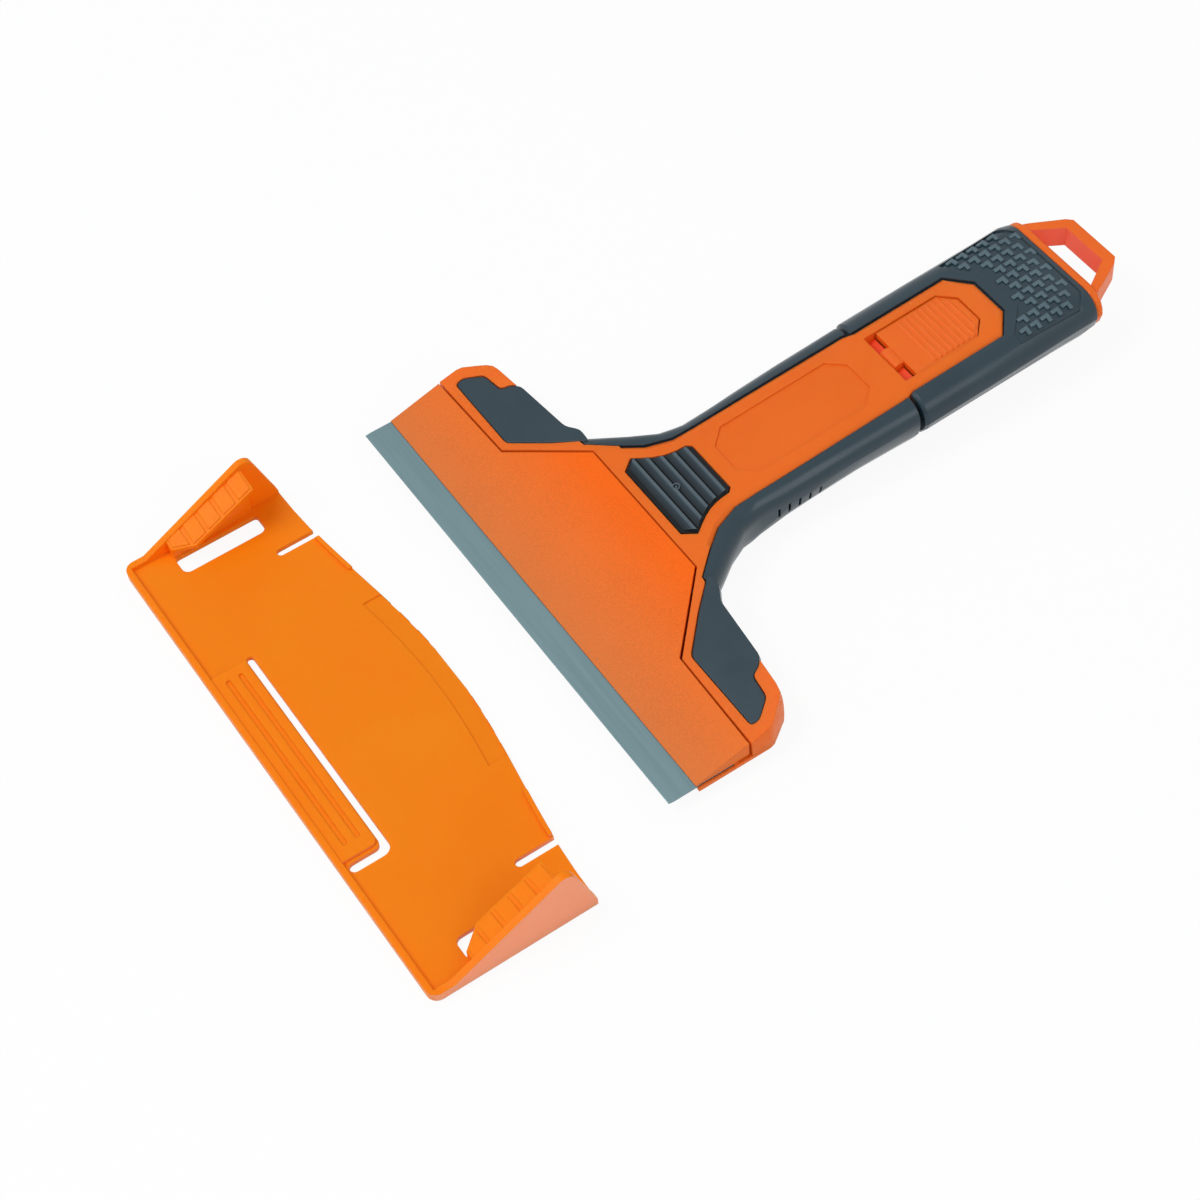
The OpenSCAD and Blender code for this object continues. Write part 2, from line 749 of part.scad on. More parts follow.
module thumb_pad() {
    color(charcoal) in_frame() on_top() translate([0, pad_y - jaw_rear_y, 0]) difference() {
        union() {
            translate([0, 0, -pad_t])
                linear_extrude(pad_t)
                    polygon(pad_outline());
            intersection() {
                linear_extrude(1)
                    polygon(pad_outline(-0.6));
                pitch = (pad_l - 2) / pad_ridges;
                for (i = [0 : pad_ridges - 1])
                    translate([-pad_w / 2, 1 + i * pitch, 0])
                        rotate([90, 0, 90])
                            linear_extrude(pad_w)
                                polygon([[0, -0.2], [pitch - 0.5, -0.2], [pitch - 0.5, 0.8],
                                    [pitch - 1.1, 0.8], [0, 0.25]]);
            }
        }
        translate([0, pad_l * 0.4, -0.5])
            cylinder(r = 0.9, h = 3);
    }
}

module button_core() {
    color(orange) in_frame() difference() {
        on_top()
            translate([0, pad_y - jaw_rear_y + core_y, -8])
                cylinder(r = core_r, h = 8 - pad_t);
        // Foot that lies flat on the lever when the button is down
        translate([0, lever_end, lever_z + lever_t + 0.1])
            rotate([-jaw_open, 0, 0])
                translate([-10, -20, -20])
                    cube([20, 40, 20]);
    }
}

module latch_button() {
    color(orange) in_frame() union() {
        catch_foot();
        on_top() {
            translate([0, latch_start + 4, -latch_sink - latch_t])
                linear_extrude(latch_t)
                    translate([0, -4])
                        intersection() {
                            polygon(latch_outline());
                            translate([-50, 4])
                                square([100, 60]);
                        }
            translate([-knuckle_w / 2 + 0.3, knuckle_y, -latch_sink - knuckle_r])
                rotate([0, 90, 0])
                    cylinder(r = knuckle_r, h = knuckle_w - 0.6);
            translate([-knuckle_w / 2 + 0.3, knuckle_y, -latch_sink - knuckle_r + 0.2])
                cube([knuckle_w - 0.6, 4, 1.4]);
            // Ribs for the thumb, inside the plate's outline
            pitch = (latch_l - 15.6) / latch_ribs;
            intersection() {
                translate([0, latch_start, -latch_sink - latch_t])
                    linear_extrude(latch_t + 2)
                        polygon(latch_outline(-0.7));
                for (i = [0 : latch_ribs - 1])
                    translate([-latch_w / 2, latch_start + 11 + i * pitch, -latch_sink - 0.3])
                        rotate([0, 90, 0])
                            cylinder(r = 0.62, h = latch_w);
            }
        }
    }
}

module latch_spring() {
    color(steel) in_frame() on_top() translate([0, latch_start + latch_spring_y, -pit_depth + 0.05])
        coil(latch_spring_r, spring_wire, 3, pit_depth - latch_t - latch_sink - 0.1);
}

module blade_tray() {
    color(orange) in_frame() difference() {
        translate([-tray_half, tray_front, tray_z])
            cube([2 * tray_half, handle_end + slip - tray_front, tray_h]);
        translate([-tray_half + tray_wall, tray_front + tray_wall, tray_z + 0.8])
            cube([2 * (tray_half - tray_wall), blade_l + blade_play, tray_h]);
        tail_screw_holes(0.9);
    }
}

module spare_blade(i) {
    color(steel) in_frame()
        translate([-blade_w / 2, tray_front + tray_wall + blade_play / 2 + blade_l / 2,
            tray_z + 0.8 + spare_gap + i * (blade_t + spare_gap)])
            rotate([0, 0, -90])
                blade_strip();
}

module spare_blade_1() {
    spare_blade(0);
}

module spare_blade_2() {
    spare_blade(1);
}

module spare_blade_3() {
    spare_blade(2);
}

module tail_cap() {
    base = tail_w / 2 - 0.4;
    high = top_z(handle_end) - 0.6;
    color(orange) in_frame() difference() {
        union() {
            loft([for (s = [[0, 0.3], [0.6, 0], [flange_t - 0.8, 0], [flange_t, 0.8]])
                rear_ring(handle_end + slip + s[0], base - s[1], 0.6 + s[1], high - s[1])]);
            translate([0, handle_end + slip, high - 1.6 - loop_t])
                linear_extrude(loop_t)
                    polygon(mirrored([[loop_root, flange_t - 1], [loop_root - 1, flange_t + 1.6],
                        [loop_end_w / 2 + 0.8, flange_t + loop_l - 1.6],
                        [loop_end_w / 2 - 0.8, flange_t + loop_l], [0, flange_t + loop_l]]));
            catch_arm();
        }
        translate([0, handle_end + slip, 0])
            linear_extrude(60)
                polygon(mirrored([[loop_root + 0.2 - loop_bar, flange_t + 0.2],
                    [loop_end_w / 2 - loop_bar * 0.55, flange_t + loop_l - loop_bar],
                    [0, flange_t + loop_l - loop_bar]]));
        tail_screw_holes(1);
    }
}

// Holes for the two screws that join the drawer to its cap
module tail_screw_holes(r) {
    both_sides()
        translate([tray_half - 4, handle_end - tray_end_wall + 0.4, tray_z + tray_h / 2])
            rotate([-90, 0, 0])
                cylinder(r = r, h = 20);
}

module tail_screws() {
    color(steel) in_frame() both_sides()
        translate([tray_half - 4, handle_end - tray_end_wall + 0.5, tray_z + tray_h / 2])
            rotate([-90, 0, 0]) {
                cylinder(r = 0.9, h = tray_end_wall + slip + flange_t);
                translate([0, 0, tray_end_wall + slip + flange_t - 0.5])
                    cylinder(r = 1.4, h = 0.9);
            }
}

// Rear edge of the guard's floor at a place along the blade, its front edge being at Y = 0
function guard_rear(x) = guard_d + guard_bulge * pow(sin(90 * max(0, 1 - abs(x) / (guard_half - 2))), 2);

function guard_outline() = mirrored(concat(
    arc(guard_half - 3, 3, 3, 270, 360, 5),
    [[guard_half, guard_d]],
    [for (i = [0 : 9]) let (x = (guard_half - 2) * (1 - i / 10)) [x, guard_rear(x)]]
));

// Strip along the rear edge between two places, of one width
function rear_strip(from, to, width) = concat(
    [for (i = [0 : 8]) let (x = from + (to - from) * i / 8) [x, guard_rear(x) - width]],
    [for (i = [8 : -1 : 0]) let (x = from + (to - from) * i / 8) [x, guard_rear(x)]]
);

// Height of the end walls' sloping top
function wall_z(y) = guard_t + lip_h + (y - wall_low_y) * wall_rise;

// Inner face of the end wedges: they open towards the rear, because the guard is pushed on at a slant
function wedge_x(y) = guard_half - wedge_w + (y - wedge_y) * guard_side / (guard_off - guard_seat);

// Inner edge of the roof over the head's ends
function roof_x(y) = lookup(y, [
    [wedge_y, guard_half - wedge_w],
    [wedge_y + roof_nose, guard_half - roof_w]
]);

// Slab along an end wall's top, falling inwards; each station is a place and the slab's inner edge there
module sloping_slab(stations, lift, depth) {
    outer = guard_half - 0.3;
    loft([for (s = stations) let (
        high = wall_z(s[0]) + lift,
        low = high - (outer - s[1]) * roof_fall,
        floor_z = guard_t - 0.2)
        [[s[1], s[0], depth > 0 ? low - depth : floor_z], [outer, s[0], depth > 0 ? high - depth : floor_z],
            [outer, s[0], high], [s[1], s[0], low]]]);
}

// Wedge inside an end wall, with a ribbed roof that reaches over the head's end
module guard_end() {
    wedge_end = wedge_y + wedge_l;
    sloping_slab([[wedge_y, wedge_x(wedge_y)], [wedge_end, wedge_x(wedge_end)]], -0.4, 0);
    sloping_slab([for (y = [wedge_y, wedge_y + roof_nose, wedge_end]) [y, roof_x(y)]], 0, roof_t);
    pitch = wedge_l / guard_ribs;
    for (i = [0 : guard_ribs - 1])
        sloping_slab([for (t = [0.6, pitch - 0.6]) let (y = wedge_y + i * pitch + t)
            [y, roof_x(y) + 0.7]], 0.3, 0.8);
}

// End wall with a round top corner
module guard_end_wall() {
    translate([guard_half - guard_wall, 0, 0])
        rotate([90, 0, 90])
            linear_extrude(guard_wall)
                polygon(concat([[0, 0], [0, guard_t + lip_h], [wall_low_y, guard_t + lip_h]],
                    arc(guard_d - 8.2, guard_h - 3.2, 3.2, 117, 20, 6), [[guard_d, 2.5], [guard_d, 0]]));
}

module guard_floor() {
    difference() {
        linear_extrude(guard_t)
            polygon(guard_outline());
        // Window beside each wedge
        both_sides()
            translate([guard_half - wedge_w - window_w - 0.2, wedge_y, -1])
                linear_extrude(9)
                    polygon(concat(arc(2, 2, 2, 180, 270, 4), arc(window_w - 1, 1, 1, 270, 360, 3),
                        arc(window_w - 1, wedge_l - 1, 1, 0, 90, 3), arc(2, wedge_l - 2, 2, 90, 180, 4)));
        // Relief slots at the rear
        both_sides() {
            translate([guard_half - 21.8, guard_d - 9.8, -1])
                cube([2.5, 20, 9]);
            translate([guard_half - 20.55, guard_d - 9.8, -1])
                cylinder(r = 1.25, h = 9);
        }
        // Step along the middle of the rear edge
        translate([0, 0, guard_t - 0.4])
            linear_extrude(9)
                polygon(rear_strip(-32, 32, 5.7));
        // Slot that frees the spring finger
        translate([0, 0, -1])
            linear_extrude(9)
                polygon(concat(arc(1 - finger_half, finger_d + 1.4, 1, 90, 270, 6),
                    arc(finger_half - 0.8, finger_d - 1.4, 1.8, 90, 0, 5),
                    arc(finger_half + 2.5, 3.9, 1.5, 180, 360, 6),
                    arc(finger_half + 1, finger_d - 0.6, 3, 0, 90, 5)));
    }
}

module guard_body() {
    guard_floor();
    // Front lip and end walls
    intersection() {
        linear_extrude(guard_h + 1)
            polygon(guard_outline());
        union() {
            translate([-guard_half, 0, 0])
                cube([2 * guard_half, 1.7, guard_t + lip_h]);
            both_sides()
                guard_end_wall();
        }
    }
    // Raised face of the finger with two long grooves
    difference() {
        linear_extrude(guard_t + 0.8)
            polygon(concat([[1 - finger_half, 1.7 - eps], [finger_half, 1.7 - eps]],
                arc(finger_half - 1.6, finger_d - 1.6, 1.6, 0, 90, 5), [[1 - finger_half, finger_d]]));
        for (y = [5.2, 9])
            translate([0, y, guard_t + 0.3])
                linear_extrude(3)
                    polygon(concat(arc(4.6 - finger_half, 0, 0.7, 90, 270, 5),
                        arc(finger_half - 4.6, 0, 0.7, -90, 90, 5)));
    }
    both_sides() {
        guard_end();
        // Low snap ridge on the rear edge
        translate([0, 0, guard_t - 0.5])
            linear_extrude(1.4)
                polygon(rear_strip(44, guard_half - 22.4, 1.2));
    }
}

module blade_guard() {
    color(clear_orange) in_frame() translate([guard_side, -guard_off, 0])
        guard_body();
}

back_shell();
top_shell();
front_grip_left();
front_grip_right();
rear_grip();
shell_screws();
blade();
clamp_plate();
clamp_pin();
clamp_spring();
thumb_pad();
button_core();
latch_button();
latch_spring();
blade_tray();
tail_cap();
tail_screws();
spare_blade_1();
spare_blade_2();
spare_blade_3();
blade_guard();
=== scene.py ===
import json
import math

import bmesh
import bpy
import numpy as np
from mathutils import Matrix, Vector

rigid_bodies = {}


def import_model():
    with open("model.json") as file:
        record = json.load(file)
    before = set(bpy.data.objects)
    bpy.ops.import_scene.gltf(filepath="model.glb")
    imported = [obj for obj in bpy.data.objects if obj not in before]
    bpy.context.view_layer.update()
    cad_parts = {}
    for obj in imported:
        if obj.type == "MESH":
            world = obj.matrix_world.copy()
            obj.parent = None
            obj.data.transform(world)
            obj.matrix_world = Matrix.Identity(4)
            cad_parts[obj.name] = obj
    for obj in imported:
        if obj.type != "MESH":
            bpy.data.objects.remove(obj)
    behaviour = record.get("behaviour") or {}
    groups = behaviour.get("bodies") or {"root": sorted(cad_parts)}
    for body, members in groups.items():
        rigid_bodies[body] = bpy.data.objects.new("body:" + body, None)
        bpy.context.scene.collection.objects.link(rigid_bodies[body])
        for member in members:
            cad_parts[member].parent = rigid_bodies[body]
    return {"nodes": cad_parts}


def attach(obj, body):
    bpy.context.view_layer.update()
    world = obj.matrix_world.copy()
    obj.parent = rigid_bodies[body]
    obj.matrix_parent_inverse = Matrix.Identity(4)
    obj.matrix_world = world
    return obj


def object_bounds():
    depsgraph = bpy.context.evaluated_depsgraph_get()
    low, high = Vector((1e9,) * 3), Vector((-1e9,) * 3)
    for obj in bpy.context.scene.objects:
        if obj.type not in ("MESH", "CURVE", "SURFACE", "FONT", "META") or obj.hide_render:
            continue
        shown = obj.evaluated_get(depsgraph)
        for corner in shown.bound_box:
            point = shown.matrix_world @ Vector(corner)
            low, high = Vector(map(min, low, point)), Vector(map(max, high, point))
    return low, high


for old in list(bpy.data.objects):
    bpy.data.objects.remove(old)
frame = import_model()
cad_low, cad_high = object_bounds()
nodes = frame["nodes"]
scene = bpy.context.scene
scene.view_settings.view_transform = "Standard"

# Sizes that the looks share with the CAD, in millimetres, with places counted from the blade's edge
REST_Y = 120.0
JAW_REAR_Y, NECK_H = 43.9, 14.6
FRAME_REAR_Y, GRIP_H = 160.6, 21.6
TOP_SLOPE = (GRIP_H - NECK_H) / (FRAME_REAR_Y - JAW_REAR_Y)
PAD_RIDGE = 0.8
PIP_Y = 54.72

# Rear grip: its rounding, how far its top lies under the handle's, and for each place along it the half
# width and how much lower the top is there
GRIP_R, GRIP_DROP = 6.5, 0.1
REAR = [(122.9, 20.6, 0.6), (123.7, 21.3, 0.0), (145.6, 21.3, 0.0), (170.6, 21.1, 0.0), (179.6, 21.2, 0.0),
        (182.6, 20.8, 0.6)]

# Sunk field of the tread
TREAD_DEEP = 0.4
FIELD_FRONT, FIELD_REAR = 157.2, 181.2
FIELD_NOSE, FIELD_NOSE_HALF, FIELD_SPINE_HALF = 164.2, 8.1, 15.4
FIELD_HALF_FRONT, FIELD_HALF_REAR, FIELD_CORNER_Y, FIELD_CORNER_HALF = 18.2, 18.9, 177.6, 14.2

# Places and limits of the looks, in metres in the row frame
LOOP_FRONT = (0.0, 0.062, 0.0)
HOLE_FACING = (-0.003, -0.0005)
JAW_GLOW_SPAN = (-0.112, -0.08)
GUARD_END = (0.02, 0.08)

# Where the values of a noise mostly lie, and the edges across which a CAD node is shaded smooth, in degrees
NOISE_LOW, NOISE_HIGH = 0.3, 0.7
SMOOTH_ANGLE = 32

WHITE = (1.0, 1.0, 1.0, 1.0)


def linear(r, g, b):
    """A colour as seen, 0 to 255, as the linear numbers that a shader takes."""
    out = []
    for c in (r / 255, g / 255, b / 255):
        out.append(c / 12.92 if c <= 0.04045 else ((c + 0.055) / 1.055) ** 2.4)
    return (*out, 1.0)


def grey(value):
    """A grey by its linear value."""
    return (value, value, value, 1.0)


def top_z(y):
    """Height of the handle's sloped top."""
    return NECK_H + (y - JAW_REAR_Y) * TOP_SLOPE


# Materials
class Shader:
    """A material's node tree, with short calls for the nodes that the looks use."""

    def __init__(self, name, specular=None):
        self.mat = bpy.data.materials.new(name)
        self.mat.use_nodes = True
        self.tree = self.mat.node_tree
        self.bsdf = self.tree.nodes["Principled BSDF"]
        self.place = self.add("ShaderNodeTexCoord").outputs["Object"]
        if specular is not None:
            self.set("Specular IOR Level", specular)

    def set(self, key, value):
        """Sets one of the surface's own values."""
        self.bsdf.inputs[key].default_value = value

    def add(self, kind, **values):
        """A new node with these settings."""
        node = self.tree.nodes.new(kind)
        for key, value in values.items():
            setattr(node, key, value)
        return node

    def link(self, a, b):
        """Joins an output to an input."""
        self.tree.links.new(a, b)

    def feed(self, socket, value):
        """Sets an input to a constant or joins an output to it."""
        if isinstance(value, (tuple, float)):
            socket.default_value = value
        else:
            self.link(value, socket)

    def math(self, operation, *values, kind="ShaderNodeMath"):
        """A sum or product of outputs and constants."""
        node = self.add(kind, operation=operation)
        for socket, value in zip(node.inputs, values):
            self.feed(socket, value)
        return node.outputs

    def split(self, vector):
        """The X, Y and Z of a vector."""
        node = self.add("ShaderNodeSeparateXYZ")
        self.link(vector, node.inputs["Vector"])
        return node.outputs

    def normal(self):
        """Direction that the surface faces."""
        return self.add("ShaderNodeNewGeometry").outputs["Normal"]

    def stretched(self, scale):
        """The place, scaled along each axis."""
        m = self.add("ShaderNodeMapping")
        m.inputs["Scale"].default_value = scale
        self.link(self.place, m.inputs["Vector"])
        return m.outputs["Vector"]

    def noise(self, scale, detail=2.0, vector=None):
        """Noise over the piece, with this many waves to the metre."""
        n = self.add("ShaderNodeTexNoise")
        n.inputs["Scale"].default_value = scale
        n.inputs["Detail"].default_value = detail
        self.link(vector or self.place, n.inputs["Vector"])
        return n.outputs["Fac"]

    def ramp(self, fac, stops):
        """Colours by a value, from stops of place and colour."""
        r = self.add("ShaderNodeValToRGB")
        while len(r.color_ramp.elements) < len(stops):
            r.color_ramp.elements.new(0.5)
        for e, (p, c) in zip(r.color_ramp.elements, stops):
            e.position = p
            e.color = c
        self.link(fac, r.inputs["Fac"])
        return r.outputs["Color"]

    def tones(self, noise, dark, light):
        """Two colours that a noise moves between."""
        return self.ramp(noise, [(NOISE_LOW, dark), (NOISE_HIGH, light)])

    def span(self, value, limits, to_low, to_high):
        """A value between two limits as one between two others."""
        m = self.add("ShaderNodeMapRange")
        for key, v in zip(("From Min", "From Max", "To Min", "To Max"), (*limits, to_low, to_high)):
            m.inputs[key].default_value = v
        self.link(value, m.inputs["Value"])
        return m.outputs["Result"]

    def uneven(self, noise, to_low, to_high):
        """A value that a noise moves between two limits."""
        return self.span(noise, (NOISE_LOW, NOISE_HIGH), to_low, to_high)

    def mix(self, fac, a, b, blend="MIX"):
        """Two colours, mixed."""
        m = self.add("ShaderNodeMix", data_type="RGBA", blend_type=blend)
        self.link(fac, m.inputs["Factor"])
        self.feed(m.inputs["A"], a)
        self.feed(m.inputs["B"], b)
        return m.outputs["Result"]

    def seep(self, weight, radius):
        """Light that seeps through the plastic, with how far red, green and blue go in metres."""
        self.set("Subsurface Weight", weight)
        self.set("Subsurface Radius", radius)
        self.set("Subsurface Scale", 1.0)

    def finish(self, colour, rough, height, strength, depth, edge):
        """Colour, roughness and bump, on edges that catch the light as if rounded."""
        self.link(colour, self.bsdf.inputs["Base Color"])
        self.link(rough, self.bsdf.inputs["Roughness"])
        bump = self.add("ShaderNodeBump")
        bump.inputs["Strength"].default_value = strength
        bump.inputs["Distance"].default_value = depth
        self.link(height, bump.inputs["Height"])
        bevel = self.add("ShaderNodeBevel", samples=4)
        bevel.inputs["Radius"].default_value = edge
        self.link(bevel.outputs["Normal"], bump.inputs["Normal"])
        self.link(bump.outputs["Normal"], self.bsdf.inputs["Normal"])
        return self.mat


def moulded(name, dark, light, rough, strength, specular, tint=None):
    """Moulded plastic: faint flow marks, a fine grain, uneven gloss, and red light that seeps through."""
    s = Shader(name, specular)
    s.seep(0.3, (0.004, 0.0008, 0.0003))
    colour = s.tones(s.noise(38, 3.0), dark, light)
    if tint:
        colour = tint(s, colour)
    gloss = s.uneven(s.noise(260), rough - 0.05, rough + 0.06)
    return s.finish(colour, gloss, s.noise(1900), strength, depth=0.0001, edge=0.0003)


def loop_painted_glow(s, colour):
    """Painted light: pinker on the walls of the loop's hole, which face a point before it, standing in for the
    light that reaches them from all sides.
    """
    vector = "ShaderNodeVectorMath"
    from_front = s.math("SUBTRACT", s.place, LOOP_FRONT, kind=vector)["Vector"]
    level = s.math("MULTIPLY", s.normal(), (1.0, 1.0, 0.0), kind=vector)["Vector"]
    facing = s.math("DOT_PRODUCT", from_front, level, kind=vector)["Value"]
    # Painted glow: the walls are mixed towards a pale pink
    return s.mix(s.span(facing, HOLE_FACING, 1.0, 0.0), colour, linear(255, 122, 92))


def jaw_plastic():
    """Spark-textured orange of the jaw, with a painted glow: duller towards its front, brighter and more
    saturated towards its rear.
    """
    s = Shader("jaw_textured_orange", specular=0.16)
    # Painted glow: the orange runs from dull at the jaw's front to bright and saturated at its rear
    along = s.span(s.split(s.place)["Y"], JAW_GLOW_SPAN, 0.0, 1.0)
    base = s.ramp(along, [(0.0, linear(224, 121, 58)), (0.5, linear(240, 117, 42)),
                          (1.0, linear(253, 106, 6))])
    speck = s.noise(2600)
    fleck = s.ramp(speck, [(0.35, grey(0.84)), (0.65, WHITE)])
    colour = s.mix(s.uneven(s.noise(60), 0.55, 1.0), base, fleck, "MULTIPLY")
    gloss = s.uneven(speck, 0.45, 0.6)
    return s.finish(colour, gloss, speck, strength=0.35, depth=0.00012, edge=0.0003)


def rubber_base(name, specular):
    """Shader of the soft grips: a dry skin with a faint sheen."""
    s = Shader(name, specular)
    s.set("Sheen Weight", 0.04)
    s.set("Sheen Roughness", 0.4)
    s.set("Sheen Tint", (0.72, 0.82, 0.95, 1.0))
    return s


def rubber_skin(s, colour, rough):
    """Calm gloss and a very fine matt grain over the rubber's colour."""
    gloss = s.uneven(s.noise(90), rough - 0.03, rough + 0.04)
    return s.finish(colour, gloss, s.noise(1600, 1.0), strength=0.05, depth=0.00005, edge=0.0005)


def soft_rubber(name, dark, light, rough):
    """Plain rubber with faint clouds in its colour."""
    s = rubber_base(name, specular=0.44)
    return rubber_skin(s, s.tones(s.noise(55, 3.0), dark, light), rough)


def ridged_rubber():
    """Rubber of the thumb pad: painted shade, dark in its valleys, and a painted highlight, pale on the
    ridges.
    """
    s = rubber_base("thumb_pad_rubber", specular=0.22)
    place = s.split(s.place)
    over_slope = s.math("MULTIPLY_ADD", place["Y"], -TOP_SLOPE, place["Z"])["Value"]
    flat = top_z(REST_Y) / 1000
    high = s.span(over_slope, (flat, flat + PAD_RIDGE / 1000), 0.0, 1.0)
    # Painted shade and highlight: colour by height over the pad's slope, near black in the valleys and pale on
    # the crests
    ridge_painted_light = s.ramp(high, [(0.1, linear(7, 11, 14)), (0.34, linear(17, 28, 34)), (0.84, linear(44, 58, 66)),
                          (0.98, linear(84, 98, 106))])
    wear = s.tones(s.noise(140), grey(0.86), WHITE)
    colour = s.mix(s.uneven(s.noise(55), 0.5, 1.0), ridge_painted_light, wear, "MULTIPLY")
    return rubber_skin(s, colour, 0.27)


def rolled_steel(name, dark, light, rough, along):
    """Rolled strip steel with fine lines along it."""
    s = Shader(name)
    s.set("Metallic", 1.0)
    lines = s.noise(900, 3.0, s.stretched(along))
    colour = s.mix(s.uneven(s.noise(30), 0.2, 0.6), s.tones(lines, dark, light), light)
    gloss = s.uneven(lines, rough - 0.05, rough + 0.08)
    return s.finish(colour, gloss, lines, strength=0.05, depth=0.00004, edge=0.0002)


def guard_plastic():
    """Thin bright guard that lets some light through, with painted light that makes the outside of its end
    walls paler and pinker.
    """
    s = Shader("guard_bright_orange", specular=0.12)
    s.seep(0.35, (0.006, 0.0022, 0.0006))
    base = s.tones(s.noise(24, 3.0), linear(255, 127, 8), linear(255, 134, 14))
    outward = s.math("MULTIPLY", s.split(s.normal())["X"], s.split(s.place)["X"])["Value"]
    # Painted light: the outward faces of the end walls are mixed towards a pale pink
    colour = s.mix(s.span(outward, GUARD_END, 0.0, 0.7), base, linear(255, 168, 138))
    gloss = s.uneven(s.noise(180), 0.34, 0.46)
    return s.finish(colour, gloss, s.noise(1500), strength=0.08, depth=0.0001, edge=0.0004)


GLOSSIER = {"rough": 0.4, "strength": 0.08, "specular": 0.25}
LATCH_TONES = (linear(238, 105, 22), linear(244, 110, 27))
ORANGE = moulded("spine_orange", linear(233, 106, 24), linear(239, 111, 29), 0.44, 0.12, 0.2)
LATCH = moulded("latch_orange", *LATCH_TONES, **GLOSSIER)
TAIL = moulded("tail_orange", *LATCH_TONES, **GLOSSIER, tint=loop_painted_glow)
# Painted light: a redder orange for the notch floors, standing in for the red light that seeps into the
# notches
NOTCH = moulded("notch_painted_red_glow", linear(252, 70, 14), linear(255, 80, 20), **GLOSSIER)
JAW = jaw_plastic()
GRIP = soft_rubber("soft_grip", linear(22, 46, 57), linear(29, 53, 64), 0.27)
# Painted highlight: the tread's strokes are a paler rubber than the grip, for the light their tops catch
TREAD = soft_rubber("tread_rubber_painted_highlight", linear(70, 92, 101), linear(82, 104, 113), 0.34)
PAD = ridged_rubber()
# Painted highlight: the ring and pip are a paler rubber than the pad
PIP = soft_rubber("pip_rubber_painted_highlight", linear(62, 76, 84), linear(74, 88, 96), 0.25)
# Painted shade: the clamp pin is a far darker steel than the screws, so that it reads as shade in the jaw's
# seam
PIN = rolled_steel("pin_steel_painted_shade", linear(58, 60, 63), linear(74, 76, 80), 0.4, (0.1, 1.0, 1.0))
BLADE = rolled_steel("blade_steel", linear(110, 134, 140), linear(118, 143, 148), 0.38, (0.03, 1.0, 1.0))
SPARE = rolled_steel("spare_steel", linear(120, 138, 142), linear(146, 160, 164), 0.32, (1.0, 0.05, 1.0))
STEEL = rolled_steel("screw_steel", linear(150, 154, 158), linear(186, 190, 194), 0.3, (1.0, 1.0, 0.1))
GUARD = guard_plastic()

FINISH = {
    "back_shell": ORANGE, "top_shell": ORANGE, "front_grip_left": GRIP, "front_grip_right": GRIP,
    "rear_grip": GRIP, "shell_screws": STEEL, "blade": BLADE, "clamp_plate": JAW, "clamp_pin": PIN,
    "clamp_spring": STEEL, "thumb_pad": PAD, "button_core": ORANGE, "latch_button": LATCH,
    "latch_spring": STEEL, "blade_tray": ORANGE, "tail_cap": TAIL, "tail_screws": STEEL,
    "spare_blade_1": SPARE, "spare_blade_2": SPARE, "spare_blade_3": SPARE, "blade_guard": GUARD,
}


def soften(obj, angle):
    """Shades a CAD node smooth across edges that turn less than the angle. Its points stay as they are."""
    mesh = obj.data
    co = np.zeros(len(mesh.vertices) * 3)
    mesh.vertices.foreach_get("co", co)
    key = np.unique(co.reshape(-1, 3).round(7), axis=0, return_inverse=True)[1].ravel()
    corner_vertex = np.zeros(len(mesh.loops), int)
    mesh.loops.foreach_get("vertex_index", corner_vertex)
    normal = np.zeros(len(mesh.polygons) * 3)
    mesh.polygons.foreach_get("normal", normal)
    normal = normal.reshape(-1, 3)
    area = np.zeros(len(mesh.polygons))
    mesh.polygons.foreach_get("area", area)
    corner_face = np.zeros(len(mesh.loops), int)
    for p in mesh.polygons:
        corner_face[p.loop_start:p.loop_start + p.loop_total] = p.index
    groups = {}
    for i, v in enumerate(key[corner_vertex]):
        groups.setdefault(v, []).append(i)
    out = np.zeros((len(mesh.loops), 3))
    limit = math.cos(math.radians(angle))
    for corners in groups.values():
        faces = corner_face[corners]
        n = normal[faces]
        near = (n @ n.T) > limit
        total = (near * area[faces]) @ n
        total += n * 1e-12
        out[corners] = total / np.linalg.norm(total, axis=1, keepdims=True)
    mesh.polygons.foreach_set("use_smooth", np.ones(len(mesh.polygons), bool))
    mesh.normals_split_custom_set(out.tolist())


for name, material in FINISH.items():
    node = nodes[name]
    node.data.materials.clear()
    node.data.materials.append(material)
    soften(node, SMOOTH_ANGLE)


# Pieces
def piece(name, bm, material, body):
    """A piece of the looks that rides on a body of the CAD."""
    mesh = bpy.data.meshes.new(name)
    bmesh.ops.recalc_face_normals(bm, faces=bm.faces)
    bm.to_mesh(mesh)
    bm.free()
    obj = bpy.data.objects.new(name, mesh)
    scene.collection.objects.link(obj)
    mesh.materials.append(material)
    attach(obj, body)


def row(x, y, z):
    """A point in millimetres from the blade's edge, in the row frame in metres."""
    return Vector((x / 1000, (y - REST_Y) / 1000, z / 1000))


def wall(bm, low, high):
    """Faces between two closed rows of points."""
    for k in range(len(low)):
        n = (k + 1) % len(low)
        bm.faces.new((low[k], low[n], high[n], high[k]))


def between(y, index):
    """A value of the rear grip at a place along it."""
    return float(np.interp(y, [r[0] for r in REAR], [r[index] for r in REAR]))


